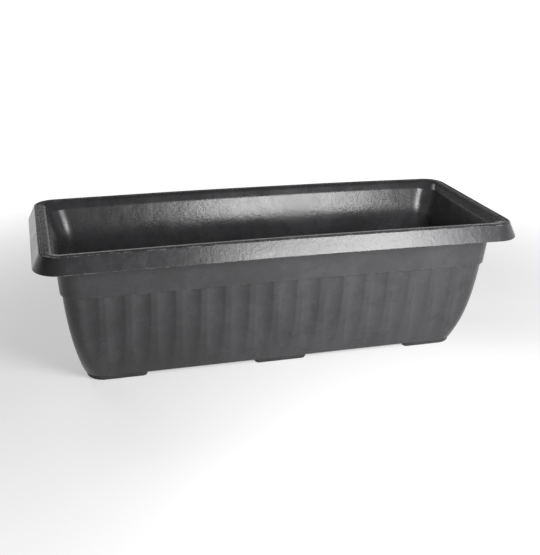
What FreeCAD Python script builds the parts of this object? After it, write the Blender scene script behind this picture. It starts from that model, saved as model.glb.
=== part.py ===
import FreeCAD, Part
import math
import os
import Sketcher

# Window box planter: one moulded trough on six feet, with a lift-out plug in each drain hole.
# Millimetres. X runs along the trough, the front faces -Y, Z is up, and the origin is on the
# ground under the middle of the trough.

# ---------------------------------------------------------------- driving dimensions
# "Inset" is always measured level, inwards from the lower edge of the rim's skirt.
SIZES = [
    ("rim_length", 600),        # overall length, at the skirt's lower edge
    ("rim_width", 246),         # overall width, at the skirt's lower edge
    ("planter_height", 180),    # ground to the top of the rim
    ("skirt_corner", 32),       # plan radius of the skirt's lower edge
    ("rim_corner", 24),         # plan radius of the rim's upper outer edge
    ("lip_corner", 12),         # plan radius of the mouth
    ("body_corner", 24),        # plan radius of the trough's outside corners
    ("skirt_drop", 19),         # height of the turned-down skirt
    ("skirt_flare", 9),         # how far the skirt leans out on its way down
    ("skirt_wall", 2.6),        # thickness of skirt and rim
    ("rim_land", 13),           # width of the rim's top
    ("groove_offset", 2.2),     # rim's outer edge to the bead line
    ("groove_width", 2.6),      # width of the bead line in the rim's top
    ("groove_depth", 0.8),
    ("rim_round", 1.2),         # rounding of the rim's upper edges
    ("lip_drop", 9),            # height of the sloping lip inside the mouth
    ("lip_lean", 4.6),          # how far the lip slopes in on its way down
    ("body_inset", 26),         # outside of the plain band where it leaves the rim
    ("band_depth", 60),         # top of the rim to the lower edge of the plain band
    ("band_draft", 3),          # how far the plain band slopes in on its way down
    ("band_wall", 2.6),         # wall thickness where the plain band leaves the rim
    ("land_step", 2),           # step in from the plain band to the fluted side
    ("side_taper", 10),         # how far the fluted side leans in, straight part
    ("base_tuck", 12),          # how much more it curls in towards the base
    ("side_wall", 4.2),         # wall thickness between two flutes
    ("floor_wall", 3),          # thickness of the floor
    ("floor_round", 6),         # rounding where the walls meet the floor, inside
    ("flute_pitch", 30),
    ("flute_width", 22),        # width of a flute at its top
    ("flute_depth", 2.4),       # depth of a flute at its top
    ("flute_runout", 0.8),      # how far outside the wall a flute's bed is at the base
    ("foot_height", 6.5),       # ground to the underside of the trough
    ("foot_length", 68),        # length of the two middle feet
    ("end_foot_length", 73),    # length of the four feet at the corners
    ("foot_width", 36),
    ("foot_setback", 2),        # foot's outer faces behind the edge of the base
    ("foot_corner", 6),         # plan radius of a foot's free corners
    ("foot_round", 2.5),        # rounding of a foot's lower edges
    ("peg_spacing", 38),        # between the two pegs of a foot
    ("peg_diameter", 6),
    ("peg_length", 8),
    ("peg_clearance", 0.04),    # radial, a push fit
    ("socket_end_gap", 0.5),    # above the tip of a peg
    ("boss_wall", 2.4),         # round and over a peg's socket
    ("drain_spacing", 60),      # between the two drain holes of a bay, across the trough
    ("drain_diameter", 14),
    ("plug_clearance", 0.3),    # radial, stem in hole
    ("plug_seat", 5),           # width of floor that the plug's flange covers round the hole
    ("plug_flange_wall", 2),
    ("plug_reach", 1.5),        # stem below the underside of the floor
    ("plug_lead", 1),           # taper at the end of the stem
    ("plug_neck", 6),           # diameter of the neck under the grip
    ("plug_neck_height", 3),
    ("plug_grip_overhang", 3),  # how far the grip stands out round the neck
    ("plug_grip_height", 4),
]

# ---------------------------------------------------------------- places worked out from them
HALF_LENGTH = "sizes.rim_length / 2"
HALF_WIDTH = "sizes.rim_width / 2"
TOP = "sizes.planter_height"
BASE = "sizes.foot_height"
FLOOR = "(sizes.foot_height + sizes.floor_wall)"
BAND_FOOT = "(sizes.planter_height - sizes.band_depth)"
SKIRT_FOOT = "(sizes.planter_height - sizes.skirt_drop)"
RIM_UNDERSIDE = "(sizes.planter_height - sizes.skirt_wall)"
LIP_FOOT = "(sizes.planter_height - sizes.lip_drop)"
MOUTH_INSET = "(sizes.skirt_flare + sizes.rim_land)"
LAND_INSET = "(sizes.body_inset + sizes.band_draft + sizes.land_step)"
BASE_INSET = f"({LAND_INSET} + sizes.side_taper + sizes.base_tuck)"
FOOT_X = f"({HALF_LENGTH} - {BASE_INSET} - sizes.foot_setback - sizes.end_foot_length / 2)"
FOOT_Y = f"({HALF_WIDTH} - {BASE_INSET} - sizes.foot_setback - sizes.foot_width / 2)"
FOOT_ROUND = "min(sizes.foot_round; 0.8 * sizes.foot_height)"
PEG_RADIUS = "sizes.peg_diameter / 2"
SOCKET_RADIUS = "(sizes.peg_diameter / 2 + sizes.peg_clearance)"
SOCKET_DEPTH = "(sizes.peg_length + sizes.socket_end_gap)"
BOSS_RADIUS = f"({SOCKET_RADIUS} + sizes.boss_wall)"
BOSS_HEIGHT = f"({SOCKET_DEPTH} + sizes.boss_wall - sizes.floor_wall)"
DRAIN_X = f"({FOOT_X} / 2)"
DRAIN_Y = "(sizes.drain_spacing / 2)"
FLUTE_RADIUS = "((sizes.flute_width^2 / 4 + sizes.flute_depth^2) / (2 * sizes.flute_depth))"

SIDE_STATIONS = [0, 0.25, 0.5, 0.75, 1]     # shares of the way down the fluted side
TUCK_POWER = 3                              # the side's curl grows with this power of the share
RUNOUT_POWER = 4                            # and a flute's bed rises with this one
EPSILON = 0.01                              # tolerance for finding edges by their place

document = FreeCAD.newDocument("window_box_planter")
sizes = document.addObject("Spreadsheet::Sheet", "sizes")
for row, (alias, number) in enumerate(SIZES, start=1):
    sizes.set(f"A{row}", str(number))
    sizes.setAlias(f"A{row}", alias)
document.recompute()


def value(expression):
    """The number that an expression of the sheet's sizes gives now."""
    return float(sizes.evalExpression(str(expression)))


def side_height(share):
    """Height of a station of the fluted side: share 0 is under the plain band, 1 is the base."""
    return f"({BASE} + ({BAND_FOOT} - {BASE}) * {1 - share})"


def side_inset(share):
    """Inset of the fluted side: a straight lean, and a curl that grows towards the base."""
    return f"({LAND_INSET} + sizes.side_taper * {share} + sizes.base_tuck * {share ** TUCK_POWER})"


def flute_bed(share):
    """Depth of a flute's bed below the side's face; it runs out just above the base."""
    rise = f"(sizes.flute_depth + sizes.flute_runout) * {share ** RUNOUT_POWER}"
    return f"(sizes.flute_depth - {rise})"


# ---------------------------------------------------------------- sketch and feature helpers
def origin_part(body, role):
    """One of a body's own origin planes or axes."""
    return [part for part in body.Origin.OriginFeatures if part.Role == role][0]


def new_sketch(body, name, plane="XY_Plane", height="0"):
    """Sketch on one of the body's origin planes, lifted off it by a height."""
    sketch = body.newObject("Sketcher::SketchObject", name)
    sketch.AttachmentSupport = [(origin_part(body, plane), "")]
    sketch.MapMode = "FlatFace"
    sketch.setExpression("AttachmentOffset.Base.z", height)
    return sketch


def pin(sketch, kind, item, point, expression):
    """Set a point's distance from the sketch's origin, kept positive on either side of it."""
    distance = value(expression)
    if distance < 0:
        index = sketch.addConstraint(Sketcher.Constraint(kind, item, point, -1, 1, -distance))
        sketch.setExpression(f"Constraints[{index}]", f"-({expression})")
    else:
        index = sketch.addConstraint(Sketcher.Constraint(kind, -1, 1, item, point, distance))
        sketch.setExpression(f"Constraints[{index}]", expression)


def add_outline(sketch, inset, corner):
    """Rounded rectangle round the trough, the same inset on all four sides."""
    half_x = value(f"{HALF_LENGTH} - {inset}")
    half_y = value(f"{HALF_WIDTH} - {inset}")
    radius = value(corner)
    quarter = math.pi / 2
    arcs = []
    for index, (turn_x, turn_y) in enumerate([(1, 1), (-1, 1), (-1, -1), (1, -1)]):
        centre = FreeCAD.Vector(turn_x * (half_x - radius), turn_y * (half_y - radius), 0)
        circle = Part.Circle(centre, FreeCAD.Vector(0, 0, 1), radius)
        arc = Part.ArcOfCircle(circle, index * quarter, (index + 1) * quarter)
        arcs.append(sketch.addGeometry(arc))
    lines = []
    for index, arc in enumerate(arcs):
        following = arcs[(index + 1) % 4]
        segment = Part.LineSegment(sketch.getPoint(arc, 2), sketch.getPoint(following, 1))
        line = sketch.addGeometry(segment)
        sketch.addConstraint(Sketcher.Constraint("Tangent", line, 1, arc, 2))
        sketch.addConstraint(Sketcher.Constraint("Tangent", line, 2, following, 1))
        sketch.addConstraint(Sketcher.Constraint("Vertical" if index % 2 else "Horizontal", line))
        lines.append(line)
    for arc in arcs[1:]:
        sketch.addConstraint(Sketcher.Constraint("Equal", arcs[0], arc))
    index = sketch.addConstraint(Sketcher.Constraint("Radius", arcs[0], radius))
    sketch.setExpression(f"Constraints[{index}]", corner)
    back, left, front, right = lines
    pin(sketch, "DistanceY", back, 1, f"({HALF_WIDTH} - {inset})")
    pin(sketch, "DistanceX", left, 1, f"-({HALF_LENGTH} - {inset})")
    pin(sketch, "DistanceY", front, 1, f"-({HALF_WIDTH} - {inset})")
    pin(sketch, "DistanceX", right, 1, f"({HALF_LENGTH} - {inset})")


def rounded_outline(body, name, height, inset, corner):
    """Sketch of one rounded rectangle round the trough at a height."""
    sketch = new_sketch(body, name, height=height)
    add_outline(sketch, inset, corner)
    return sketch


def add_circle(sketch, x, y, radius):
    """Circle whose centre and radius follow the sizes."""
    centre = FreeCAD.Vector(value(x), value(y), 0)
    circle = Part.Circle(centre, FreeCAD.Vector(0, 0, 1), value(radius))
    item = sketch.addGeometry(circle)
    index = sketch.addConstraint(Sketcher.Constraint("Radius", item, value(radius)))
    sketch.setExpression(f"Constraints[{index}]", radius)
    if str(x) == "0":
        sketch.addConstraint(Sketcher.Constraint("PointOnObject", item, 3, -2))
    else:
        pin(sketch, "DistanceX", item, 3, x)
    if str(y) == "0":
        sketch.addConstraint(Sketcher.Constraint("PointOnObject", item, 3, -1))
    else:
        pin(sketch, "DistanceY", item, 3, y)


def loft(body, kind, name, sections, ruled):
    """Additive or subtractive loft through level sections; ruled keeps it straight between two."""
    feature = body.newObject(f"PartDesign::{kind}Loft", name)
    feature.Profile = sections[0]
    feature.Sections = sections[1:]
    feature.Ruled = ruled
    for sketch in sections:
        sketch.Visibility = False
    body.Tip = feature
    return feature


def prism(body, kind, name, sketch, length, reverse=False):
    """Pad or pocket of a level sketch: a pad rises and a pocket sinks, unless reversed."""
    feature = body.newObject(f"PartDesign::{kind}", name)
    feature.Profile = sketch
    feature.setExpression("Length", length)
    feature.Reversed = reverse
    sketch.Visibility = False
    body.Tip = feature
    return feature


def edges_where(feature, test):
    """Names of the edges of a feature whose every vertex and middle passes a test."""
    names = []
    for number, edge in enumerate(feature.Shape.Edges, start=1):
        middle = edge.valueAt((edge.FirstParameter + edge.LastParameter) / 2)
        points = [vertex.Point for vertex in edge.Vertexes] + [middle]
        if all(test(point) for point in points):
            names.append(f"Edge{number}")
    return names


def fillet(body, name, test, radius):
    """Round the edges of the body's last feature that pass a test."""
    document.recompute()
    base = body.Tip
    feature = body.newObject("PartDesign::Fillet", name)
    feature.Base = (base, edges_where(base, test))
    feature.setExpression("Radius", radius)
    body.Tip = feature
    document.recompute()
    return feature


def on_ring(point, outside, inside):
    """Whether a point of the rim's top lies between two insets, corners apart."""
    inset = min(value(HALF_LENGTH) - abs(point.x), value(HALF_WIDTH) - abs(point.y))
    return value(outside) - EPSILON < inset < value(inside) + EPSILON


def new_body(label):
    """Body of one sub-part; the label names its file."""
    body = document.addObject("PartDesign::Body", label)
    body.Label = label
    return body


# ---------------------------------------------------------------- trough: rim
trough = new_body("trough")

loft(trough, "Additive", "rim", [
    rounded_outline(trough, "skirt_edge", SKIRT_FOOT, "0", "sizes.skirt_corner"),
    rounded_outline(trough, "rim_edge", TOP, "sizes.skirt_flare", "sizes.rim_corner"),
], True)

# The hollow behind the skirt, which leaves the skirt and the rim's top one wall thick.
loft(trough, "Subtractive", "skirt_hollow", [
    rounded_outline(trough, "hollow_mouth", SKIRT_FOOT, "sizes.skirt_wall",
                    "(sizes.skirt_corner - sizes.skirt_wall)"),
    rounded_outline(trough, "hollow_top", RIM_UNDERSIDE,
                    "(sizes.skirt_flare + sizes.skirt_wall)",
                    "(sizes.rim_corner - sizes.skirt_wall)"),
], True)

# ---------------------------------------------------------------- trough: outside of the walls
loft(trough, "Additive", "plain_band", [
    rounded_outline(trough, "band_foot", BAND_FOOT, "(sizes.body_inset + sizes.band_draft)",
                    "sizes.body_corner"),
    rounded_outline(trough, "band_head", SKIRT_FOOT, "sizes.body_inset", "sizes.body_corner"),
    rounded_outline(trough, "band_top", RIM_UNDERSIDE, f"({MOUTH_INSET} - sizes.skirt_wall)",
                    "sizes.body_corner"),
], True)

loft(trough, "Additive", "fluted_side", [
    rounded_outline(trough, f"side_{number}", side_height(share), side_inset(share),
                    "sizes.body_corner")
    for number, share in enumerate(SIDE_STATIONS)
], False)

# ---------------------------------------------------------------- trough: inside of the walls
INNER_CORNER = "(sizes.body_corner - sizes.band_wall)"
SIDE_INNER_CORNER = "(sizes.body_corner - sizes.side_wall)"
LIP_FOOT_INSET = f"({MOUTH_INSET} + sizes.lip_lean)"
cavity = [rounded_outline(trough, "cavity_lip", LIP_FOOT, LIP_FOOT_INSET, INNER_CORNER),
          rounded_outline(trough, "cavity_band", SKIRT_FOOT,
                          "(sizes.body_inset + sizes.band_wall)", INNER_CORNER)]
for number, share in enumerate(SIDE_STATIONS[:-1]):
    cavity.append(rounded_outline(trough, f"cavity_{number}", side_height(share),
                                  f"({side_inset(share)} + sizes.side_wall)", SIDE_INNER_CORNER))
cavity.append(rounded_outline(trough, "cavity_floor", FLOOR,
                              f"({BASE_INSET} + sizes.side_wall)", SIDE_INNER_CORNER))
loft(trough, "Subtractive", "cavity", cavity, False)

loft(trough, "Subtractive", "lip", [
    rounded_outline(trough, "lip_foot", LIP_FOOT, LIP_FOOT_INSET, INNER_CORNER),
    rounded_outline(trough, "lip_edge", TOP, MOUTH_INSET, "sizes.lip_corner"),
], True)

# The bead line is a shallow groove between the two ridges of the rim's top.
bead = new_sketch(trough, "bead_line", height=TOP)
GROOVE_OUTSIDE = "(sizes.skirt_flare + sizes.groove_offset)"
GROOVE_INSIDE = "(sizes.skirt_flare + sizes.groove_offset + sizes.groove_width)"
add_outline(bead, GROOVE_OUTSIDE, "(sizes.rim_corner - sizes.groove_offset)")
add_outline(bead, GROOVE_INSIDE, "(sizes.rim_corner - sizes.groove_offset - sizes.groove_width)")
prism(trough, "Pocket", "bead_groove", bead, "sizes.groove_depth")

fillet(trough, "rim_rounding",
       lambda point: (abs(point.z - value(TOP)) < EPSILON
                      and not on_ring(point, GROOVE_OUTSIDE, GROOVE_INSIDE)),
       "min(sizes.rim_round; 0.6 * sizes.groove_offset; 0.6 * sizes.skirt_wall)")
fillet(trough, "floor_rounding", lambda point: abs(point.z - value(FLOOR)) < EPSILON,
       "sizes.floor_round")


# ---------------------------------------------------------------- trough: flutes
def flute_row(name, along_x, side):
    """Row of upright flutes on one side, centred, and as many as the side has room for.

    A flute is cut by a tube of round sections that follow the side's own curve.
    """
    half_run = HALF_LENGTH if along_x else HALF_WIDTH
    half_reach = HALF_WIDTH if along_x else HALF_LENGTH
    room = f"({half_run} - {LAND_INSET} - sizes.body_corner)"
    each_way = f"floor({room} / sizes.flute_pitch)"
    sections = []
    for number, share in enumerate(SIDE_STATIONS):
        sketch = new_sketch(trough, f"{name}_{number}", height=side_height(share))
        run = f"-({each_way} * sizes.flute_pitch)"
        outward = f"({half_reach} - {side_inset(share)} - {flute_bed(share)} + {FLUTE_RADIUS})"
        reach = f"{side} * {outward}"
        if along_x:
            add_circle(sketch, run, reach, FLUTE_RADIUS)
        else:
            add_circle(sketch, reach, run, FLUTE_RADIUS)
        sections.append(sketch)
    cut = loft(trough, "Subtractive", name, sections, False)
    row = trough.newObject("PartDesign::LinearPattern", f"{name}_row")
    row.Originals = [cut]
    row.Direction = (origin_part(trough, "X_Axis" if along_x else "Y_Axis"), [""])
    row.setExpression("Occurrences", f"2 * {each_way} + 1")
    row.setExpression("Length", f"2 * {each_way} * sizes.flute_pitch")
    trough.Tip = row
    return row


for flutes, along_x, side in [("front_flutes", True, -1), ("back_flutes", True, 1),
                              ("left_flutes", False, -1), ("right_flutes", False, 1)]:
    flute_row(flutes, along_x, side)

# ---------------------------------------------------------------- trough: floor
FEET = [("foot_front_left", -1, -1), ("foot_front_middle", 0, -1), ("foot_front_right", 1, -1),
        ("foot_back_left", -1, 1), ("foot_back_middle", 0, 1), ("foot_back_right", 1, 1)]
DRAINS = [("drain_plug_front_left", -1, -1), ("drain_plug_front_right", 1, -1),
          ("drain_plug_back_left", -1, 1), ("drain_plug_back_right", 1, 1)]


def peg_places():
    """Places of the twelve pegs, two on each foot."""
    return [(f"({side_x} * {FOOT_X} + {end} * sizes.peg_spacing / 2)", f"({side_y} * {FOOT_Y})")
            for _, side_x, side_y in FEET for end in (-1, 1)]


bosses = new_sketch(trough, "boss_circles", height=FLOOR)
sockets = new_sketch(trough, "socket_circles", height=f"({BASE} + {SOCKET_DEPTH})")
for x, y in peg_places():
    add_circle(bosses, x, y, BOSS_RADIUS)
    add_circle(sockets, x, y, SOCKET_RADIUS)
prism(trough, "Pad", "peg_bosses", bosses, BOSS_HEIGHT)
prism(trough, "Pocket", "peg_sockets", sockets, SOCKET_DEPTH)

drains = new_sketch(trough, "drain_circles", height=FLOOR)
for _, side_x, side_y in DRAINS:
    add_circle(drains, f"({side_x} * {DRAIN_X})", f"({side_y} * {DRAIN_Y})",
               "sizes.drain_diameter / 2")
prism(trough, "Pocket", "drain_holes", drains, "sizes.floor_wall")


# ---------------------------------------------------------------- feet
def make_foot(label, side_x, side_y):
    """Pad-shaped foot with two pegs; a corner foot is rounded to follow the base's corner."""
    body = new_body(label)
    length = "sizes.end_foot_length" if side_x else "sizes.foot_length"
    half_length = value(f"{length} / 2")
    half_width = value("sizes.foot_width / 2")
    block = body.newObject("PartDesign::AdditiveBox", f"{label}_block")
    block.setExpression("Length", length)
    block.setExpression("Width", "sizes.foot_width")
    block.setExpression("Height", BASE)
    block.setExpression("Placement.Base.x", f"-{length} / 2")
    block.setExpression("Placement.Base.y", "-sizes.foot_width / 2")
    body.Tip = block

    def upright(point, at_corner):
        """Whether a point lies on an upright edge, at the outer corner or at the others."""
        outer = (abs(point.x - side_x * half_length) < EPSILON
                 and abs(point.y - side_y * half_width) < EPSILON)
        edge = (abs(abs(point.x) - half_length) < EPSILON
                and abs(abs(point.y) - half_width) < EPSILON)
        return edge and outer == at_corner

    fillet(body, f"{label}_corners", lambda point: upright(point, False), "sizes.foot_corner")
    if side_x:
        fillet(body, f"{label}_outer_corner", lambda point: upright(point, True),
               "(sizes.body_corner - sizes.foot_setback)")
    fillet(body, f"{label}_underside", lambda point: abs(point.z) < EPSILON, FOOT_ROUND)

    for number, end in enumerate((-1, 1)):
        peg = body.newObject("PartDesign::AdditiveCylinder", f"{label}_peg_{number}")
        peg.setExpression("Radius", PEG_RADIUS)
        peg.setExpression("Height", f"{BASE} + sizes.peg_length - {FOOT_ROUND}")
        peg.setExpression("Placement.Base.x", f"{end} * sizes.peg_spacing / 2")
        peg.setExpression("Placement.Base.z", FOOT_ROUND)
        body.Tip = peg
    body.setExpression("Placement.Base.x", f"{side_x} * {FOOT_X}")
    body.setExpression("Placement.Base.y", f"{side_y} * {FOOT_Y}")


for label, side_x, side_y in FEET:
    make_foot(label, side_x, side_y)


# ---------------------------------------------------------------- drain plugs
def make_plug(label, side_x, side_y):
    """Turned shape of a plug: stem in the hole, flange on the floor, neck and grip above."""
    body = new_body(label)
    sketch = new_sketch(body, f"{label}_section", "XZ_Plane")
    stem = "(sizes.drain_diameter / 2 - sizes.plug_clearance)"
    foot = "-(sizes.floor_wall + sizes.plug_reach)"
    neck_top = "(sizes.plug_flange_wall + sizes.plug_neck_height)"
    crown = f"({neck_top} + sizes.plug_grip_height)"
    flange = "(sizes.drain_diameter / 2 + sizes.plug_seat)"
    neck = "(sizes.plug_neck / 2)"
    grip = "(sizes.plug_neck / 2 + sizes.plug_grip_overhang)"
    outline = [("0", foot), (f"({stem} - sizes.plug_lead)", foot),
               (stem, f"({foot} + sizes.plug_lead)"), (stem, "0"), (flange, "0"),
               (flange, "sizes.plug_flange_wall"), (neck, "sizes.plug_flange_wall"),
               (neck, neck_top), (grip, neck_top), (grip, crown), ("0", crown)]
    points = [FreeCAD.Vector(value(x), value(z), 0) for x, z in outline]
    lines = []
    for start, end in zip(points, points[1:] + points[:1]):
        lines.append(sketch.addGeometry(Part.LineSegment(start, end)))
    for index, line in enumerate(lines):
        following = lines[(index + 1) % len(lines)]
        sketch.addConstraint(Sketcher.Constraint("Coincident", line, 2, following, 1))
    for line, (x, z) in zip(lines, outline):
        if x == "0":
            sketch.addConstraint(Sketcher.Constraint("PointOnObject", line, 1, -2))
        else:
            pin(sketch, "DistanceX", line, 1, x)
        if z == "0":
            sketch.addConstraint(Sketcher.Constraint("PointOnObject", line, 1, -1))
        else:
            pin(sketch, "DistanceY", line, 1, z)
    turned = body.newObject("PartDesign::Revolution", f"{label}_turned")
    turned.Profile = sketch
    turned.ReferenceAxis = (sketch, ["V_Axis"])
    turned.Angle = 360
    sketch.Visibility = False
    body.Tip = turned
    body.setExpression("Placement.Base.x", f"{side_x} * {DRAIN_X}")
    body.setExpression("Placement.Base.y", f"{side_y} * {DRAIN_Y}")
    body.setExpression("Placement.Base.z", FLOOR)


for label, side_x, side_y in DRAINS:
    make_plug(label, side_x, side_y)

# ---------------------------------------------------------------- check and write
document.recompute()
faults = [item.Name for item in document.Objects
          if "Invalid" in item.State or "Error" in item.State]
if faults:
    raise RuntimeError(f"features that did not build: {faults}")
os.makedirs("parts", exist_ok=True)
bodies = [item for item in document.Objects if item.TypeId == "PartDesign::Body"]
for body in bodies:
    if body.Shape.isNull() or not body.Shape.isValid() or len(body.Shape.Solids) != 1:
        raise RuntimeError(f"{body.Label} is not one sound solid")
for body in bodies:
    body.Shape.exportStep(f"parts/{body.Label}.step")
    box = body.Shape.BoundBox
    print(f"{body.Label}: {box.XLength:.1f} x {box.YLength:.1f} x {box.ZLength:.1f} mm,"
          f" {body.Shape.Volume / 1000:.1f} cm3")
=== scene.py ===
# %% [markdown]
# # Window box planter
#
# This notebook dresses a long black plastic trough, the kind that stands on a sill or a balcony.
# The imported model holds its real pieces: the moulded trough, six pad feet and four lift-out
# drain plugs. Here each of them gets the shape and the finish that the eye sees. Everything is
# in metres, X runs along the trough, the front faces -Y and Z is up.

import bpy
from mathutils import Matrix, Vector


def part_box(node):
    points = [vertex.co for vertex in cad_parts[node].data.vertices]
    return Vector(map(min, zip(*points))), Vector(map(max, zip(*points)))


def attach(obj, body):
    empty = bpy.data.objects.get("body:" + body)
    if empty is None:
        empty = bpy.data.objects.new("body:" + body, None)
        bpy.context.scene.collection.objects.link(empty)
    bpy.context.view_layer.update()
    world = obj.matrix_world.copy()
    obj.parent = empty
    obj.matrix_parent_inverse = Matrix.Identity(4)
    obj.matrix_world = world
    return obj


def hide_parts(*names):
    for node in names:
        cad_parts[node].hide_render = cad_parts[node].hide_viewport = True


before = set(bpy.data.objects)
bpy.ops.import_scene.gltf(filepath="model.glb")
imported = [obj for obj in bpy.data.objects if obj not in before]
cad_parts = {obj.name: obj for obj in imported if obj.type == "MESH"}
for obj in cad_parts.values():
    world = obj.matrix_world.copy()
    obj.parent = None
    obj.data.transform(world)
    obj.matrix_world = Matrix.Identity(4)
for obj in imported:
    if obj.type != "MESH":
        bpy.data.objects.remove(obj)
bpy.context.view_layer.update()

# %% [markdown]
# ## Sizes
#
# The outside sizes are read from the imported trough, so the looks can't drift from the real size.
# The others are the moulding's own sizes, written in millimetres and turned into metres by MM.
# An inset is measured level, inwards from the lower edge of the rim's skirt.

# %% Sizes of the moulding
import math

import bmesh
import bpy
from mathutils import Matrix, Vector
from mathutils.geometry import delaunay_2d_cdt

MM = 0.001
trough_low, trough_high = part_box("trough")
HALF_LENGTH = trough_high.x
HALF_WIDTH = trough_high.y
TOP = trough_high.z
BASE = trough_low.z

FLOOR = BASE + 3 * MM
BAND_FOOT = TOP - 60 * MM
SKIRT_FOOT = TOP - 19 * MM
SKIRT_WALL = 2.6 * MM
RIM_UNDERSIDE = TOP - SKIRT_WALL
SKIRT_FLARE = 9 * MM
MOUTH_INSET = SKIRT_FLARE + 13 * MM
LIP_FOOT = TOP - 9 * MM
LIP_FOOT_INSET = MOUTH_INSET + 4.8 * MM
BAND_INSET = 26 * MM
BAND_FOOT_INSET = BAND_INSET + 3 * MM
LAND_INSET = BAND_FOOT_INSET + 2 * MM
SIDE_TAPER = 10 * MM
BASE_TUCK = 12 * MM
BASE_INSET = LAND_INSET + SIDE_TAPER + BASE_TUCK
SIDE_WALL = 4.2 * MM
BODY_CORNER = 24 * MM
INNER_CORNER = BODY_CORNER - SIDE_WALL
print("trough:", round(2 * HALF_LENGTH, 3), "x", round(2 * HALF_WIDTH, 3), "x", round(TOP, 3), "m")

# %% [markdown]
# ## The section of the wall
#
# An injection moulding has one wall section that runs all the way round. It could be drawn as a
# curve and swept, but a sweep would shrink every corner by its inset, and this moulding doesn't:
# its corners stay almost as round at the base as at the top. So the section is a list of rows.
# Each row says how far in it lies, how high, and how round its four corners are.

# %% Rows of the wall section
NO_FLUTE = -1.0


class Row:
    """One level ring of the trough: inset, height, plan radius, depth of the flutes' bed, wear."""

    def __init__(self, inset, height, corner, bed=NO_FLUTE, wear=0.0):
        self.inset = inset
        self.height = height
        self.corner = corner
        self.bed = bed
        self.wear = wear


def rounded(before, knee, after, radius, steps, room):
    """Rows that turn the section at a knee with a small radius, in place of a sharp edge.

    Room is the share of the next stretch that the rounding may use up.
    """
    spot = Vector((knee.inset, knee.height))
    to_before = Vector((before.inset, before.height)) - spot
    to_after = Vector((after.inset, after.height)) - spot
    half_angle = to_before.angle(to_after) / 2
    reach = min(radius / math.tan(half_angle), 0.49 * to_before.length, room * to_after.length)
    centre = spot + (to_before.normalized() + to_after.normalized()).normalized() * (
        reach / math.cos(half_angle))
    first = spot + to_before.normalized() * reach - centre
    last = spot + to_after.normalized() * reach - centre
    turn = first.angle_signed(last)
    rows = []
    for step in range(steps + 1):
        share = step / steps
        arm = first.copy()
        arm.rotate(Matrix.Rotation(-turn * share, 2))
        side = before if share < 0.5 else after
        blend = abs(share - 0.5) * 2 * reach / max((to_before if share < 0.5 else to_after).length,
                                                   reach)
        corner = knee.corner + (side.corner - knee.corner) * blend
        wear = knee.wear * math.sin(math.pi * share)
        rows.append(Row(centre.x + arm.x, centre.y + arm.y, corner, knee.bed, wear))
    return rows


def section(knees):
    """Rows along a run of knees, each a (row, radius, steps); radius 0 keeps the row as it is."""
    rows = []
    for index, (knee, radius, steps) in enumerate(knees):
        if radius and 0 < index < len(knees) - 1:
            room = 0.9 if index == len(knees) - 2 else 0.49
            rows += rounded(knees[index - 1][0], knee, knees[index + 1][0], radius, steps, room)
        else:
            rows.append(knee)
    return rows


# %% [markdown]
# ## Outside of the wall
#
# The fluted side leans in and then curls under towards the base, like the hull of a boat. Its
# curve follows a rule: a straight lean plus a cube that grows towards the base. The flutes are
# deepest under the plain band and run out just above the base. They are cut 0.6 mm deeper here
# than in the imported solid, so that their edges catch the light as the real ones do.

# %% Rows of the fluted side
FLUTE_DEPTH = 3.0 * MM
FLUTE_RUNOUT = 0.8 * MM
SIDE_ROWS = 20


def side_row(share):
    """A row of the fluted side: share 0 lies under the plain band and 1 at the base."""
    inset = LAND_INSET + SIDE_TAPER * share + BASE_TUCK * share ** 3
    height = BAND_FOOT + (BASE - BAND_FOOT) * share
    bed = FLUTE_DEPTH - (FLUTE_DEPTH + FLUTE_RUNOUT) * share ** 4
    return Row(inset, height, BODY_CORNER, bed)


EDGE_ROUND = 1.1 * MM
BASE_EDGE = 4 * MM
base_rows = [(Row(BASE_INSET + BASE_EDGE, BASE, BODY_CORNER - BASE_EDGE), 0, 0),
             (Row(BASE_INSET, BASE, BODY_CORNER, wear=0.7), EDGE_ROUND, 3)]
side_rows = [(side_row(1 - step / SIDE_ROWS), 0, 0) for step in range(1, SIDE_ROWS)]
print("fluted side:", len(side_rows), "rows")

# %% [markdown]
# ## Band, skirt and rim
#
# Above the flutes runs a plain band, and over it hangs the rim: a flared, turned-down skirt that
# stiffens the thin edge. The top of the rim has two low ridges with a bead line between them,
# then slopes in to the mouth. All of these edges are rounded, because melted plastic never
# fills a sharp corner of a mould, and the rounding is what catches the light.

# %% Rows of the band, the skirt and the rim
land = Row(LAND_INSET, BAND_FOOT, BODY_CORNER, FLUTE_DEPTH)
SKIRT_CORNER = 32 * MM
RIM_CORNER = 24 * MM
GROOVE_DEPTH = 0.8 * MM
groove_floor = TOP - GROOVE_DEPTH
band_rows = [
    (land, 0.5 * MM, 3),
    (Row(BAND_FOOT_INSET, BAND_FOOT, BODY_CORNER, wear=0.6), 0.9 * MM, 4),
    (Row(BAND_INSET, SKIRT_FOOT, BODY_CORNER), 0, 0),
    (Row(MOUTH_INSET - SKIRT_WALL, RIM_UNDERSIDE, BODY_CORNER), 1.5 * MM, 3),
    (Row(SKIRT_FLARE + SKIRT_WALL, RIM_UNDERSIDE, RIM_CORNER - SKIRT_WALL), 2.0 * MM, 3),
    (Row(SKIRT_WALL, SKIRT_FOOT, SKIRT_CORNER - SKIRT_WALL, wear=0.5), 0.7 * MM, 3),
    (Row(0, SKIRT_FOOT, SKIRT_CORNER, wear=1.0), 1.0 * MM, 4),
    (Row(0.5 * SKIRT_FLARE, (TOP + SKIRT_FOOT) / 2, (SKIRT_CORNER + RIM_CORNER) / 2), 0, 0),
]
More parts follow.
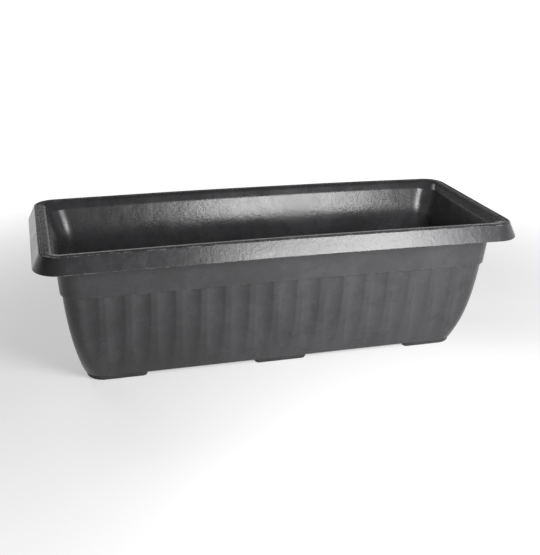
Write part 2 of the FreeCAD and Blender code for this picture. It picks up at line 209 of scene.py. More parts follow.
rim_rows = [
    (Row(9.0 * MM, TOP, RIM_CORNER, wear=1.0), 1.3 * MM, 4),
    (Row(11.2 * MM, TOP, RIM_CORNER - 2.2 * MM, wear=0.8), 0.6 * MM, 3),
    (Row(11.8 * MM, groove_floor, RIM_CORNER - 2.8 * MM), 0.5 * MM, 2),
    (Row(13.2 * MM, groove_floor, RIM_CORNER - 4.2 * MM), 0.5 * MM, 2),
    (Row(13.8 * MM, TOP, RIM_CORNER - 4.8 * MM, wear=0.8), 0.6 * MM, 3),
    (Row(15.4 * MM, TOP, RIM_CORNER - 6.4 * MM, wear=0.6), 1.2 * MM, 3),
    (Row(MOUTH_INSET, TOP - 0.7 * MM, 12 * MM), 5 * MM, 6),
    (Row(LIP_FOOT_INSET, LIP_FOOT, BODY_CORNER - SKIRT_WALL), 12 * MM, 4),
]
print("band, skirt and rim:", len(band_rows) + len(rim_rows), "knees")

# %% [markdown]
# ## Inside of the wall
#
# Inside, the wall sweeps down from the lip in one smooth hollow curve to a rounded floor. A
# cubic curve joins the lip's slope to the side's own rule just above the plain band's foot. The
# wall is a little thicker there, and thins towards the floor.

# %% Rows of the inside
INNER_ROWS_HIGH = 10
INNER_ROWS_LOW = 12
LIP_SLOPE = 0.30
LAND_SLOPE = 0.05
FLOOR_ROUND = 6 * MM
FLOOR_EDGE = 7 * MM
EXTRA_WALL = 1.9 * MM
BEND = TOP - 50 * MM
BEND_INSET = LAND_INSET + SIDE_WALL + EXTRA_WALL - LAND_SLOPE * (BEND - BAND_FOOT)


def high_inner_row(share):
    """A row between the foot of the lip, share 0, and the bend of the wall, share 1."""
    drop = LIP_FOOT - BEND
    smooth = share * share * (3 - 2 * share)
    rise = share * (1 - share) ** 2 * LIP_SLOPE - share ** 2 * (1 - share) * LAND_SLOPE
    inset = LIP_FOOT_INSET + (BEND_INSET - LIP_FOOT_INSET) * smooth + drop * rise
    corner = BODY_CORNER - SKIRT_WALL + (SKIRT_WALL - SIDE_WALL) * share
    return Row(inset, LIP_FOOT - drop * share, corner)


def low_inner_row(share):
    """A row between the foot of the plain band, share 0, and the floor, share 1."""
    wall = SIDE_WALL + EXTRA_WALL * (1 - share)
    inset = LAND_INSET + wall + SIDE_TAPER * share + BASE_TUCK * share ** 3
    return Row(inset, BAND_FOOT + (FLOOR - BAND_FOOT) * share, INNER_CORNER)


inner_rows = [(high_inner_row(step / INNER_ROWS_HIGH), 0, 0)
              for step in range(1, INNER_ROWS_HIGH + 1)]
inner_rows += [(low_inner_row(step / INNER_ROWS_LOW), 0, 0) for step in range(INNER_ROWS_LOW - 2)]
wall_foot = low_inner_row(1)
floor_rows = [(wall_foot, FLOOR_ROUND, 6),
              (Row(wall_foot.inset + FLOOR_EDGE, FLOOR, INNER_CORNER - FLOOR_EDGE), 0, 0)]
wall_rows = section(base_rows + side_rows + band_rows + rim_rows + inner_rows + floor_rows)
print("whole section:", len(wall_rows), "rows")

# %% [markdown]
# ## Columns round the trough
#
# Round the trough the mesh needs many columns where a flute's soft edge turns, and few between.
# So each flute brings its own set of column places, close together at its edges, and each
# corner is a fan of columns.

# %% Columns
FLUTE_PITCH = 30 * MM
FLUTE_WIDTH = 22 * MM
FLUTES_EACH_WAY = (8, 2)
COLUMN_OFFSETS = [3, 6, 8.4, 9.7, 10.6, 11.3, 12.1, 13.2]
CORNER_STEPS = 12
STRAIGHT = (HALF_LENGTH - LAND_INSET - BODY_CORNER, HALF_WIDTH - LAND_INSET - BODY_CORNER)


def side_places(flutes, extent):
    """Places of the columns along one side, from one end of its straight run to the other."""
    places = {-extent, extent}
    for flute in range(-flutes, flutes + 1):
        middle = flute * FLUTE_PITCH
        spots = [middle, middle - FLUTE_PITCH / 2, middle + FLUTE_PITCH / 2]
        for offset in COLUMN_OFFSETS:
            spots += [middle - offset * MM, middle + offset * MM]
        places.update(spot for spot in spots if abs(spot) < extent - 0.5 * MM)
    return sorted({round(place, 6) for place in places})


def columns_round():
    """(place, outward direction) of each column, anticlockwise from the front's left end."""
    columns = []
    sides = [((1, 0), (0, -1), 0), ((0, 1), (1, 0), 1), ((-1, 0), (0, 1), 0), ((0, -1), (-1, 0), 1)]
    for number, (run, out, axis) in enumerate(sides):
        for place in side_places(FLUTES_EACH_WAY[axis], STRAIGHT[axis]):
            along = (run[0] * place + out[0] * STRAIGHT[0], run[1] * place + out[1] * STRAIGHT[1])
            columns.append((along, out))
        corner = ((run[0] + out[0]) * STRAIGHT[0], (run[1] + out[1]) * STRAIGHT[1])
        start = math.atan2(out[1], out[0])
        for step in range(1, CORNER_STEPS):
            angle = start + step / CORNER_STEPS * math.pi / 2
            columns.append((corner, (math.cos(angle), math.sin(angle))))
    return columns


columns = columns_round()
print("columns:", len(columns), "- faces of the wall:", len(columns) * (len(wall_rows) - 1))

# %% [markdown]
# ## The sheet that the node tree shapes
#
# The rows and columns go into a plain mesh: a closed sleeve whose points all lie at the origin,
# with what each row and column says kept as named attributes. The shape itself is left to
# Geometry Nodes, which reads those attributes.

# %% Sleeve with its attributes
def sleeve(name, rows, columns):
    """Tube of quads, one ring of points for each row, with the rows' and columns' values."""
    around = len(columns)
    faces = []
    for row in range(len(rows) - 1):
        for column in range(around):
            following = (column + 1) % around
            faces.append((row * around + column, row * around + following,
                          (row + 1) * around + following, (row + 1) * around + column))
    mesh = bpy.data.meshes.new(name)
    mesh.from_pydata([(0, 0, 0)] * (around * len(rows)), [], faces)
    for key in ("inset", "height", "corner", "bed", "wear"):
        layer = mesh.attributes.new(key, "FLOAT", "POINT")
        layer.data.foreach_set("value", [getattr(row, key) for row in rows for _ in columns])
    for key, part in (("along", 0), ("out", 1)):
        layer = mesh.attributes.new(key, "FLOAT_VECTOR", "POINT")
        layer.data.foreach_set("vector", [number for _ in rows for column in columns
                                          for number in (*column[part], 0)])
    return mesh


def new_object(name, mesh):
    """Object for a mesh, in the scene."""
    thing = bpy.data.objects.new(name, mesh)
    bpy.context.scene.collection.objects.link(thing)
    return thing


trough = new_object("trough_shell", sleeve("trough_shell", wall_rows, columns))
print("sleeve:", len(trough.data.vertices), "points")

# %% [markdown]
# ## Small helpers for node trees
#
# Geometry and shader trees are both built by code. Two helpers keep that short: one adds a node
# and fills or links its inputs, the other adds a sum, a product or another piece of maths.

# %% Node helpers
def feed(tree, socket, source):
    """Link a source socket to an input, or set the input to a number, colour or vector."""
    if isinstance(source, bpy.types.NodeSocket):
        tree.links.new(source, socket)
    else:
        socket.default_value = source


def add_node(tree, kind, inputs=None, **settings):
    """New node with its settings and its inputs, given by name or by number."""
    node = tree.nodes.new(kind)
    for name, setting in settings.items():
        setattr(node, name, setting)
    for key, source in (inputs or {}).items():
        feed(tree, node.inputs[key], source)
    return node


def calc(tree, operation, *numbers):
    """Result of one math node."""
    kind = "ShaderNodeMath"
    return add_node(tree, kind, dict(enumerate(numbers)), operation=operation).outputs[0]


def new_socket(tree, name, direction, kind, default=None):
    """Named input or output of a node group."""
    socket = tree.interface.new_socket(name=name, in_out=direction, socket_type=kind)
    if default is not None:
        socket.default_value = default
    return socket


# %% [markdown]
# ## The shape as a node tree
#
# A rounded rectangle is four quarter circles on the corners of a smaller rectangle. Each row
# has its own such rectangle, so a column's place is stretched to fit it, and then pushed out by
# the row's plan radius. The flutes are cut by round tubes: the tree measures how deep a point
# lies inside the nearest tube and presses it in, with a soft edge like the real moulding's. The
# long rim of the real one bows up a little in its middle, and nothing on it is quite straight.

# %% Geometry Nodes tree of the trough
def attribute(tree, name, kind="FLOAT"):
    """Value of one of the sleeve's attributes."""
    return add_node(tree, "GeometryNodeInputNamedAttribute", {"Name": name},
                    data_type=kind).outputs["Attribute"]


def stretched(tree, place, straight, fixed, extent):
    """A column's place on a row: unchanged near the middle, stretched near the row's corners."""
    size = calc(tree, "ABSOLUTE", place)
    inner = calc(tree, "MINIMUM", size, fixed)
    outer = calc(tree, "MAXIMUM", calc(tree, "SUBTRACT", size, fixed), 0.0)
    ratio = calc(tree, "DIVIDE", calc(tree, "SUBTRACT", extent, fixed),
                 calc(tree, "SUBTRACT", straight, fixed))
    reach = calc(tree, "MULTIPLY_ADD", outer, ratio, inner)
    return calc(tree, "MULTIPLY", calc(tree, "SIGN", place), reach)


def flute_cut(tree, across, outward, half, inset, bed, given, flutes):
    """How far a point is pressed in by the nearest flute of the row that faces outward."""
    pitch, radius, soft = given["Flute Pitch"], given["Flute Radius"], given["Edge Softness"]
    number = calc(tree, "ROUND", calc(tree, "DIVIDE", across, pitch))
    number = calc(tree, "MAXIMUM", number, calc(tree, "MULTIPLY", flutes, -1.0))
    number = calc(tree, "MINIMUM", number, flutes)
    aside = calc(tree, "SUBTRACT", across, calc(tree, "MULTIPLY", number, pitch))
    square = calc(tree, "SUBTRACT", calc(tree, "MULTIPLY", radius, radius),
                  calc(tree, "MULTIPLY", aside, aside))
    arc = calc(tree, "SUBTRACT", radius, calc(tree, "SQRT", calc(tree, "MAXIMUM", square, 0.0)))
    set_back = calc(tree, "SUBTRACT", calc(tree, "SUBTRACT", half, inset),
                    calc(tree, "ABSOLUTE", outward))
    depth = calc(tree, "SUBTRACT", calc(tree, "SUBTRACT", bed, arc), set_back)
    smooth = calc(tree, "SQRT", calc(tree, "MULTIPLY_ADD", depth, depth,
                                     calc(tree, "MULTIPLY", soft, soft)))
    cut = calc(tree, "MULTIPLY", calc(tree, "ADD", depth, smooth), 0.5)
    return calc(tree, "SUBTRACT", outward,
                calc(tree, "MULTIPLY", calc(tree, "SIGN", outward), cut))


def trough_tree():
    """Tree that sets every point of the sleeve to its place on the trough."""
    tree = bpy.data.node_groups.new("trough_from_rows", "GeometryNodeTree")
    new_socket(tree, "Geometry", "INPUT", "NodeSocketGeometry")
    for name in ("Half Length", "Half Width", "Straight Length", "Straight Width", "Fixed Length",
                 "Fixed Width", "Flute Pitch", "Flute Radius", "Edge Softness", "Flutes Long",
                 "Flutes Short", "Floor Height", "Rim Height", "Warp", "Bow"):
        new_socket(tree, name, "INPUT", "NodeSocketFloat")
    new_socket(tree, "Material", "INPUT", "NodeSocketMaterial")
    new_socket(tree, "Geometry", "OUTPUT", "NodeSocketGeometry")
    given = tree.nodes.new("NodeGroupInput").outputs
    inset, height = attribute(tree, "inset"), attribute(tree, "height")
    corner, bed = attribute(tree, "corner"), attribute(tree, "bed")
    along = add_node(tree, "ShaderNodeSeparateXYZ",
                     {0: attribute(tree, "along", "FLOAT_VECTOR")}).outputs
    out = add_node(tree, "ShaderNodeSeparateXYZ",
                   {0: attribute(tree, "out", "FLOAT_VECTOR")}).outputs
    places = []
    for axis, word in enumerate(("Length", "Width")):
        half = given[f"Half {word}"]
        extent = calc(tree, "SUBTRACT", calc(tree, "SUBTRACT", half, inset), corner)
        place = stretched(tree, along[axis], given[f"Straight {word}"], given[f"Fixed {word}"],
                          extent)
        places.append(calc(tree, "MULTIPLY_ADD", corner, out[axis], place))
    x, y = places
    fluted_y = flute_cut(tree, x, y, given["Half Width"], inset, bed, given, given["Flutes Long"])
    fluted_x = flute_cut(tree, y, x, given["Half Length"], inset, bed, given,
                         given["Flutes Short"])
    rise = add_node(tree, "ShaderNodeMapRange",
                    {"Value": height, "From Min": given["Floor Height"],
                     "From Max": given["Rim Height"]}).outputs["Result"]
    share = calc(tree, "DIVIDE", x, given["Half Length"])
    arch = calc(tree, "SUBTRACT", 1.0, calc(tree, "MULTIPLY", share, share))
    lift = calc(tree, "MULTIPLY", calc(tree, "MULTIPLY", rise, arch), given["Bow"])
    place = add_node(tree, "ShaderNodeCombineXYZ",
                     {0: fluted_x, 1: fluted_y, 2: calc(tree, "ADD", height, lift)})
    wave = add_node(tree, "ShaderNodeTexNoise", {"Vector": place.outputs[0], "Scale": 9.0,
                                                 "Detail": 2.0}, noise_dimensions="3D")
    centred = add_node(tree, "ShaderNodeVectorMath",
                       {0: wave.outputs["Color"], 1: (0.5, 0.5, 0.5)}, operation="SUBTRACT")
    warp = add_node(tree, "ShaderNodeVectorMath",
                    {0: centred.outputs[0], "Scale": calc(tree, "MULTIPLY", rise, given["Warp"])},
                    operation="SCALE")
    shaped = add_node(tree, "GeometryNodeSetPosition",
                      {"Geometry": given["Geometry"], "Position": place.outputs[0],
                       "Offset": warp.outputs[0]})
    real = add_node(tree, "GeometryNodeRealizeInstances", {0: shaped.outputs[0]})
    painted = add_node(tree, "GeometryNodeSetMaterial",
                       {"Geometry": real.outputs[0], "Material": given["Material"]})
    result = tree.nodes.new("NodeGroupOutput")
    tree.links.new(painted.outputs[0], result.inputs[0])
    return tree


def shape_by_tree(thing, tree, values):
    """Run a tree on an object with its named inputs set, and keep the result as a plain mesh."""
    modifier = thing.modifiers.new("shape", "NODES")
    modifier.node_group = tree
    for item in tree.interface.items_tree:
        if item.in_out == "INPUT" and item.name in values:
            modifier[item.identifier] = values[item.name]
    bpy.context.view_layer.update()
    shown = thing.evaluated_get(bpy.context.evaluated_depsgraph_get())
    mesh = bpy.data.meshes.new_from_object(shown)
    thing.modifiers.remove(modifier)
    thing.data = mesh
    return mesh


# %% [markdown]
# ## Moulded plastic
#
# Black polypropylene isn't one colour. It comes out of the mould satin, with a fine grain, with
# cloudy patches where the melt met, and it scuffs grey along its edges. Each effect is a node
# group of its own, built once and placed in each material with its own values. The groups put
# out colours, masks and heights only, and the shader stays in the material.

# %% Shader groups
def shader_group(name, inputs, outputs):
    """Empty shader node group with named inputs, given as (name, kind, default), and outputs."""
    tree = bpy.data.node_groups.new(name, "ShaderNodeTree")
    for label, kind, default in inputs:
        new_socket(tree, label, "INPUT", kind, default)
    for label, kind in outputs:
        new_socket(tree, label, "OUTPUT", kind)
    return tree, tree.nodes.new("NodeGroupInput").outputs, tree.nodes.new("NodeGroupOutput").inputs


def noise(tree, vector, scale, detail=3.0, roughness=0.5, distortion=0.0):
    """Grey value of a noise texture."""
    return add_node(tree, "ShaderNodeTexNoise",
                    {"Vector": vector, "Scale": scale, "Detail": detail, "Roughness": roughness,
                     "Distortion": distortion}).outputs["Fac"]


def spread(tree, value, low, high, to_low=0.0, to_high=1.0):
    """Value stretched from one range to another, and held inside it."""
    return add_node(tree, "ShaderNodeMapRange",
                    {"Value": value, "From Min": low, "From Max": high, "To Min": to_low,
                     "To Max": to_high}, interpolation_type="SMOOTHSTEP").outputs["Result"]


def build_clouds():
    """Cloudy patches: a mask from 0 to 1 at a large and a small scale."""
    tree, given, result = shader_group(
        "melt_clouds", [("Vector", "NodeSocketVector", None), ("Large Scale", "NodeSocketFloat", 9),
                        ("Small Scale", "NodeSocketFloat", 60)],
        [("Clouds", "NodeSocketFloat")])
    large = noise(tree, given["Vector"], given["Large Scale"], detail=4.0, roughness=0.6,
                  distortion=0.4)
    small = noise(tree, given["Vector"], given["Small Scale"], detail=5.0, roughness=0.65)
    both = calc(tree, "MULTIPLY_ADD", large, 0.6, calc(tree, "MULTIPLY", small, 0.4))
    feed(tree, result["Clouds"], spread(tree, both, 0.38, 0.62))
    return tree


def build_grain():
    """Fine grain of the mould's face, with its mottle and its slow ripple, as a height."""
    tree, given, result = shader_group(
        "mould_grain", [("Vector", "NodeSocketVector", None),
                        ("Grain Scale", "NodeSocketFloat", 900),
                        ("Mottle Scale", "NodeSocketFloat", 220),
                        ("Ripple Scale", "NodeSocketFloat", 45)],
        [("Height", "NodeSocketFloat")])
    fine = noise(tree, given["Vector"], given["Grain Scale"], detail=2.0)
    mottle = noise(tree, given["Vector"], given["Mottle Scale"], detail=2.0)
    ripple = noise(tree, given["Vector"], given["Ripple Scale"], roughness=0.55)
    mottled = calc(tree, "MULTIPLY_ADD", mottle, 0.36, ripple)
    feed(tree, result["Height"], calc(tree, "MULTIPLY_ADD", fine, 0.25, mottled))
    return tree


def build_wear():
    """Scuffs: where an edge mask and a patchy noise meet."""
    tree, given, result = shader_group(
        "edge_scuffs", [("Vector", "NodeSocketVector", None), ("Edge", "NodeSocketFloat", 0),
                        ("Scale", "NodeSocketFloat", 120)],
        [("Scuff", "NodeSocketFloat")])
    patches = noise(tree, given["Vector"], given["Scale"], detail=6.0, roughness=0.7)
    patches = spread(tree, patches, 0.45, 0.62)
    feed(tree, result["Scuff"], calc(tree, "MULTIPLY", patches, given["Edge"]))
    return tree


clouds_group, grain_group, wear_group = build_clouds(), build_grain(), build_wear()
print("shader groups:", clouds_group.name, grain_group.name, wear_group.name)

# %% [markdown]
# A material places the three groups and mixes their masks into the colour, the roughness and
# the bump of one Principled shader. All patterns read Object coordinates, so they stay put
# when a plug is lifted or the camera moves.

# %% Materials
PLASTIC_SPECULAR = 0.4
SCUFF_ROUGHNESS = 0.12
BUMP_HEIGHT = 1 * MM


def mix_colour(tree, mask, first, second):
    """Colour mixed from one to the other by a mask."""
    node = add_node(tree, "ShaderNodeMix", {"Factor": mask}, data_type="RGBA")
    feed(tree, node.inputs[6], first)
    feed(tree, node.inputs[7], second)
    return node.outputs[2]


def plastic(name, dark, light, scuffed, rough, rough_clouds, bump, cloud_scale=9):
    """Moulded plastic: cloudy colour, uneven gloss, fine grain and grey scuffs on its edges."""
    material = bpy.data.materials.new(name)
    material.use_nodes = True
    tree = material.node_tree
    shader = tree.nodes["Principled BSDF"]
    place = tree.nodes.new("ShaderNodeTexCoord").outputs["Object"]
    edge = add_node(tree, "ShaderNodeAttribute", attribute_name="wear").outputs["Fac"]
    clouds = add_node(tree, "ShaderNodeGroup", node_tree=clouds_group,
                      inputs={"Vector": place, "Large Scale": cloud_scale})
    grain = add_node(tree, "ShaderNodeGroup", node_tree=grain_group, inputs={"Vector": place})
    wear = add_node(tree, "ShaderNodeGroup", node_tree=wear_group,
                    inputs={"Vector": place, "Edge": edge})
    colour = mix_colour(tree, clouds.outputs["Clouds"], dark, light)
    colour = mix_colour(tree, wear.outputs["Scuff"], colour, scuffed)
    gloss = spread(tree, clouds.outputs["Clouds"], 0.0, 1.0, rough - rough_clouds,
                   rough + rough_clouds)
    gloss = calc(tree, "MULTIPLY_ADD", wear.outputs["Scuff"], SCUFF_ROUGHNESS, gloss)
    bumped = add_node(tree, "ShaderNodeBump", {"Height": grain.outputs["Height"],
                                               "Strength": bump, "Distance": BUMP_HEIGHT})
    shader.inputs["Specular IOR Level"].default_value = PLASTIC_SPECULAR
    feed(tree, shader.inputs["Base Color"], colour)
    feed(tree, shader.inputs["Roughness"], gloss)
    feed(tree, shader.inputs["Normal"], bumped.outputs["Normal"])
    return material


trough_plastic = plastic("trough_plastic", (0.033, 0.033, 0.035, 1), (0.047, 0.047, 0.050, 1),
                         (0.19, 0.19, 0.19, 1), rough=0.27, rough_clouds=0.03, bump=0.35)
foot_plastic = plastic("foot_plastic", (0.02, 0.02, 0.021, 1), (0.035, 0.035, 0.037, 1),
                       (0.10, 0.10, 0.10, 1), rough=0.5, rough_clouds=0.06, bump=0.3,
                       cloud_scale=20)
plug_rubber = plastic("plug_rubber", (0.018, 0.018, 0.018, 1), (0.03, 0.03, 0.03, 1),
                      (0.06, 0.06, 0.06, 1), rough=0.62, rough_clouds=0.05, bump=0.35,
                      cloud_scale=40)
print("materials:", [material.name for material in bpy.data.materials if material.users])

# %% [markdown]
# ## Shaping the trough
#
# The tree gets its named inputs, set by each socket's identifier, and the result is kept as a
# plain mesh. That mesh is open at two rings, one round the floor and one round the underside.

# %% Run the tree on the sleeve
FLUTE_RADIUS = (FLUTE_WIDTH ** 2 / 4 + FLUTE_DEPTH ** 2) / (2 * FLUTE_DEPTH)
STRETCHED_END = 82 * MM
FLUTE_SOFTNESS = 0.4 * MM
RIM_WARP = 0.5 * MM
RIM_BOW = 2.4 * MM
shape_by_tree(trough, trough_tree(), {
    "Half Length": HALF_LENGTH, "Half Width": HALF_WIDTH,
    "Straight Length": STRAIGHT[0], "Straight Width": STRAIGHT[1],
    "Fixed Length": HALF_LENGTH - STRETCHED_END, "Fixed Width": HALF_WIDTH - STRETCHED_END,
    "Flute Pitch": FLUTE_PITCH, "Flute Radius": FLUTE_RADIUS, "Edge Softness": FLUTE_SOFTNESS,
    "Flutes Long": float(FLUTES_EACH_WAY[0]), "Flutes Short": float(FLUTES_EACH_WAY[1]),
    "Floor Height": FLOOR, "Rim Height": TOP, "Warp": RIM_WARP, "Bow": RIM_BOW,
    "Material": trough_plastic})
print("shaped wall:", len(trough.data.polygons), "faces")

# %% [markdown]
# ## Floor, bosses and drain holes
#
# The floor carries twelve hollow bosses, one over each peg of a foot, and has four drain holes.
# Each round detail is a stack of rings. Its first ring is an edge loop of the flat floor, so a
# fill between the outline and those loops leaves true round holes, with no boolean.

# %% Close the trough
PEG_SPACING = 38 * MM
PEG_RADIUS = 3 * MM
SOCKET_RADIUS = PEG_RADIUS + 0.04 * MM
SOCKET_TOP = BASE + 8.5 * MM
BOSS_RADIUS = SOCKET_RADIUS + 2.4 * MM
BOSS_TOP = SOCKET_TOP + 2.4 * MM
BOSS_FILLET = 0.8 * MM
BOSS_ROUND = 0.7 * MM
BOSS_EASE = 0.2 * MM
BOSS_STEPS = 28
SOCKET_STEPS = 24
DRAIN_RADIUS = 7 * MM
DRAIN_ROUND = 0.5 * MM
DRAIN_EASE = 0.15 * MM
DRAIN_CHAMFER = 0.4 * MM
DRAIN_STEPS = 48
foot_names = [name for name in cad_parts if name.startswith("foot_")]
plug_names = [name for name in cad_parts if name.startswith("drain_plug_")]


def middle_of(node):
    """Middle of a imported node's box, level."""
    low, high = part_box(node)
    return ((low.x + high.x) / 2, (low.y + high.y) / 2)


def ring(mesh, centre, radius, height, steps):
    """Level ring of points, anticlockwise seen from above."""
    return [mesh.verts.new((centre[0] + radius * math.cos(2 * math.pi * step / steps),
                            centre[1] + radius * math.sin(2 * math.pi * step / steps), height))
            for step in range(steps)]


def stack(mesh, centre, profile, steps, close=False):
    """Rings joined by faces: (radius, height) pairs; close puts a lid on the last ring."""
    rings = [ring(mesh, centre, radius, height, steps) for radius, height in profile]
    for lower, upper in zip(rings, rings[1:]):
        for step in range(steps):
            following = (step + 1) % steps
            mesh.faces.new((lower[step], lower[following], upper[following], upper[step]))
    if close:
        mesh.faces.new(rings[-1])
    return rings


def outline_of(mesh, high):
    """Points of the sleeve's open ring, in order: the upper one or the lower one."""
    level = (FLOOR + BASE) / 2
    edges = [edge for edge in mesh.edges
             if edge.is_boundary and (edge.verts[0].co.z > level) == high]
    points = [edges[0].verts[0]]
    follow = edges[0]
    while len(points) < len(edges):
        points.append(follow.other_vert(points[-1]))
        follow = next(edge for edge in points[-1].link_edges
                      if edge.is_boundary and edge != follow)
    return points


def fill_flat(mesh, loops):
    """Triangles between an outline, given first, and the holes inside it."""
    points, owners, edges = [], [], []
    for number, loop in enumerate(loops):
        first = len(points)
        edges += [(first + step, first + (step + 1) % len(loop)) for step in range(len(loop))]
        owners += [number] * len(loop)
        points += loop
    filled = delaunay_2d_cdt([point.co.to_2d() for point in points], edges, [], 1, 1e-7)
    for triangle in filled[2]:
        corners = [filled[3][corner][0] for corner in triangle]
        sides = {owners[corner] for corner in corners}
        if len(sides) > 1 or sides == {0}:
            mesh.faces.new([points[corner] for corner in corners])


def close_trough(thing):
    """Fill the floor and the underside round the bosses, the sockets and the drain holes."""
    mesh = bmesh.new()
    mesh.from_mesh(thing.data)
    floor_loops = [outline_of(mesh, True)]
    under_loops = [outline_of(mesh, False)]
    for name in foot_names:
        x, y = middle_of(name)
        for end in (-0.5, 0.5):
            spot = (x + end * PEG_SPACING, y)
            boss = stack(mesh, spot, [(BOSS_RADIUS + BOSS_FILLET, FLOOR),
                                      (BOSS_RADIUS + BOSS_EASE, FLOOR + BOSS_EASE),
                                      (BOSS_RADIUS, FLOOR + BOSS_FILLET),
                                      (BOSS_RADIUS, BOSS_TOP - BOSS_ROUND),
                                      (BOSS_RADIUS - BOSS_EASE, BOSS_TOP - BOSS_EASE),
                                      (BOSS_RADIUS - BOSS_ROUND, BOSS_TOP)],
                         BOSS_STEPS, close=True)
            socket = stack(mesh, spot, [(SOCKET_RADIUS, BASE), (SOCKET_RADIUS, SOCKET_TOP)],
                           SOCKET_STEPS, close=True)
            floor_loops.append(boss[0])
            under_loops.append(socket[0])
    for name in plug_names:
        hole = stack(mesh, middle_of(name), [(DRAIN_RADIUS + DRAIN_ROUND, FLOOR),
                                             (DRAIN_RADIUS + DRAIN_EASE, FLOOR - DRAIN_EASE),
                                             (DRAIN_RADIUS, FLOOR - DRAIN_ROUND),
                                             (DRAIN_RADIUS, BASE + DRAIN_CHAMFER),
                                             (DRAIN_RADIUS + DRAIN_CHAMFER, BASE)], DRAIN_STEPS)
        floor_loops.append(hole[0])
        under_loops.append(hole[-1])
    fill_flat(mesh, floor_loops)
    fill_flat(mesh, under_loops)
    bmesh.ops.recalc_face_normals(mesh, faces=mesh.faces)
    print("open edges left:", sum(edge.is_boundary for edge in mesh.edges))
    mesh.to_mesh(thing.data)
    mesh.free()


SHARP_ANGLE = math.radians(50)


def finish_mesh(thing, material):
    """Smooth faces, normals that follow the large faces, and one material."""
    thing.data.materials.clear()
    thing.data.materials.append(material)
    thing.data.polygons.foreach_set("use_smooth", [True] * len(thing.data.polygons))
    thing.data.set_sharp_from_angle(angle=SHARP_ANGLE)
    modifier = thing.modifiers.new("even_normals", "WEIGHTED_NORMAL")
    modifier.keep_sharp = True
    bpy.context.view_layer.update()
    shown = thing.evaluated_get(bpy.context.evaluated_depsgraph_get())
    mesh = bpy.data.meshes.new_from_object(shown)
    thing.modifiers.clear()
    thing.data = mesh


close_trough(trough)
finish_mesh(trough, trough_plastic)
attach(trough, "planter")
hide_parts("trough")
print("trough:", len(trough.data.polygons), "faces")

# %% [markdown]
# ## Feet and plugs
#
# The imported feet and plugs already have their true shape, so they stay and only get their
# finish.

# %% Feet and plugs
for names, finish in ((foot_names, foot_plastic), (plug_names, plug_rubber)):
    for name in names:
        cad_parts[name].data.materials.clear()
        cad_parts[name].data.materials.append(finish)
print("dressed:", len(foot_names), "feet and", len(plug_names), "plugs")

# %% [markdown]
# ## Camera
#
# The camera stands where the photograph was taken from: a little above the rim and to the left
# of the middle. Its place and its turn were solved from the outline of the rim and the base.

# %% Camera
IMAGE_LONG_SIDE = 555
FOCAL_PIXELS = 849.7
SENSOR_WIDTH = 36
CAMERA_PLACE = (-0.2922, -1.00613, 0.5044)
camera_data = bpy.data.cameras.new("camera")
camera_data.sensor_fit = "AUTO"
camera_data.sensor_width = SENSOR_WIDTH
camera_data.lens = FOCAL_PIXELS * SENSOR_WIDTH / IMAGE_LONG_SIDE
camera = bpy.data.objects.new("camera", camera_data)
bpy.context.scene.collection.objects.link(camera)
right = Vector((0.96181, -0.27295, 0.02073))
up = Vector((0.08197, 0.35942, 0.92957))
back = Vector((-0.26117, -0.89237, 0.36807))
turn = Matrix((right, up, back)).transposed().to_4x4()
camera.matrix_world = Matrix.Translation(CAMERA_PLACE) @ turn
bpy.context.scene.camera = camera
print("lens:", round(camera_data.lens, 1), "mm")

# %% [markdown]
# ## Light
#
# One soft lamp stands close in front and to the right, as it did for the photograph: it lights
# the right half of the skirt and the upper part of the back wall. A large weak lamp stands high
# behind, so that the back isn't black, and a dim world fills in.

# %% Lamps and world
def softbox(name, place, target, width, height, watts):
    """Rectangular soft lamp that faces a point."""
    data = bpy.data.lights.new(name, "AREA")
    data.shape = "RECTANGLE"
    data.size = width
    data.size_y = height
    data.energy = watts
    lamp = bpy.data.objects.new(name, data)
    lamp.location = place
    aim = Vector(target) - Vector(place)
    lamp.rotation_mode = "QUATERNION"
    lamp.rotation_quaternion = aim.to_track_quat("-Z", "Y")
    lamp.visible_camera = False
    bpy.context.scene.collection.objects.link(lamp)
    return lamp


softbox("key", place=(0.25, -0.60, 0.35), target=(0.0, 0.0, 0.12), width=0.38, height=0.30,
        watts=7.4)
softbox("fill", place=(-0.9, 1.4, 1.9), target=(0.0, 0.0, 0.1), width=1.0, height=0.8,
        watts=13.0)

world = bpy.data.worlds.new("studio")
bpy.context.scene.world = world
world.use_nodes = True
world.node_tree.nodes["Background"].inputs["Color"].default_value = (1, 1, 1, 1)
world.node_tree.nodes["Background"].inputs["Strength"].default_value = 0.05
print("lamps:", [lamp.name for lamp in bpy.data.lights])

# %% [markdown]
# ## Floor and backdrop
#
# The planter stands in a round studio cove: a pale floor that curves up into a low wall all
# round, so that the floor has no visible edge. The cove glows for the camera and in reflections,
# less where the lamp lights it anyway, and it still takes the planter's shadow.

# %% Studio cove
COVE_RADIUS = 5.0
COVE_BEND = 0.5
COVE_HEIGHT = 1.4
COVE_STEPS = 96
BEND_STEPS = 8
GLOW_FROM, GLOW_TO = 0.3, 1.0
GLOW_NEAR, GLOW_FAR = 0.45, 1.0


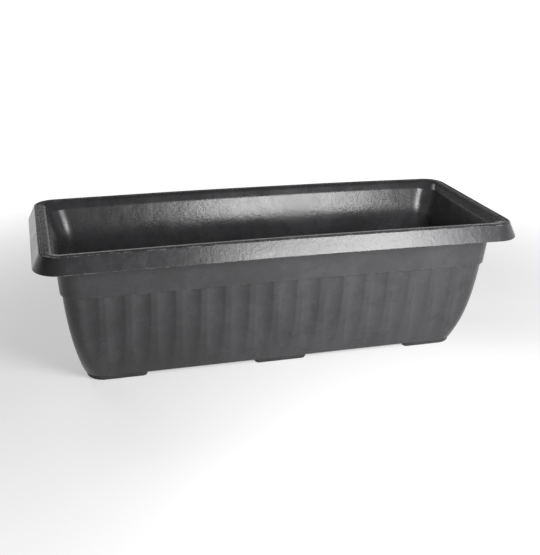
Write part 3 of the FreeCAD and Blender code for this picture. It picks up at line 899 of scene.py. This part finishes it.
def studio_cove():
    """Round floor whose rim curves up into a wall."""
    profile = [(0.4, 0), (2.0, 0), (COVE_RADIUS - COVE_BEND, 0)]
    for step in range(1, BEND_STEPS + 1):
        angle = step / BEND_STEPS * math.pi / 2
        profile.append((COVE_RADIUS - COVE_BEND * (1 - math.sin(angle)),
                        COVE_BEND * (1 - math.cos(angle))))
    profile.append((COVE_RADIUS, COVE_HEIGHT))
    mesh = bmesh.new()
    rings = stack(mesh, (0, 0), profile, COVE_STEPS)
    mesh.faces.new(rings[0])
    bmesh.ops.recalc_face_normals(mesh, faces=mesh.faces)
    if next(face for face in mesh.faces if face.calc_center_median().length < 0.1).normal.z < 0:
        bmesh.ops.reverse_faces(mesh, faces=mesh.faces)
    data = bpy.data.meshes.new("studio_cove")
    mesh.to_mesh(data)
    mesh.free()
    data.polygons.foreach_set("use_smooth", [True] * len(data.polygons))
    return new_object("studio_cove", data)


cove = studio_cove()
pale = bpy.data.materials.new("pale_floor")
pale.use_nodes = True
ground = pale.node_tree
floor_shader = ground.nodes["Principled BSDF"]
floor_shader.inputs["Base Color"].default_value = (0.5, 0.5, 0.5, 1)
floor_shader.inputs["Roughness"].default_value = 0.9
path = ground.nodes.new("ShaderNodeLightPath").outputs
seen = calc(ground, "MAXIMUM", path["Is Camera Ray"],
            calc(ground, "MAXIMUM", path["Is Glossy Ray"], path["Is Transmission Ray"]))
spot = ground.nodes.new("ShaderNodeTexCoord").outputs["Object"]
distance = add_node(ground, "ShaderNodeVectorMath", {0: spot}, operation="LENGTH").outputs["Value"]
reach = spread(ground, distance, GLOW_FROM, GLOW_TO, GLOW_NEAR, GLOW_FAR)
glow = add_node(ground, "ShaderNodeEmission",
                {"Color": (1, 1, 1, 1), "Strength": calc(ground, "MULTIPLY", seen, reach)})
both = add_node(ground, "ShaderNodeAddShader",
                {0: floor_shader.outputs[0], 1: glow.outputs[0]})
ground.links.new(both.outputs[0], ground.nodes["Material Output"].inputs["Surface"])
cove.data.materials.append(pale)
bpy.context.scene.view_settings.view_transform = "Standard"
print("cove:", len(cove.data.polygons), "faces")
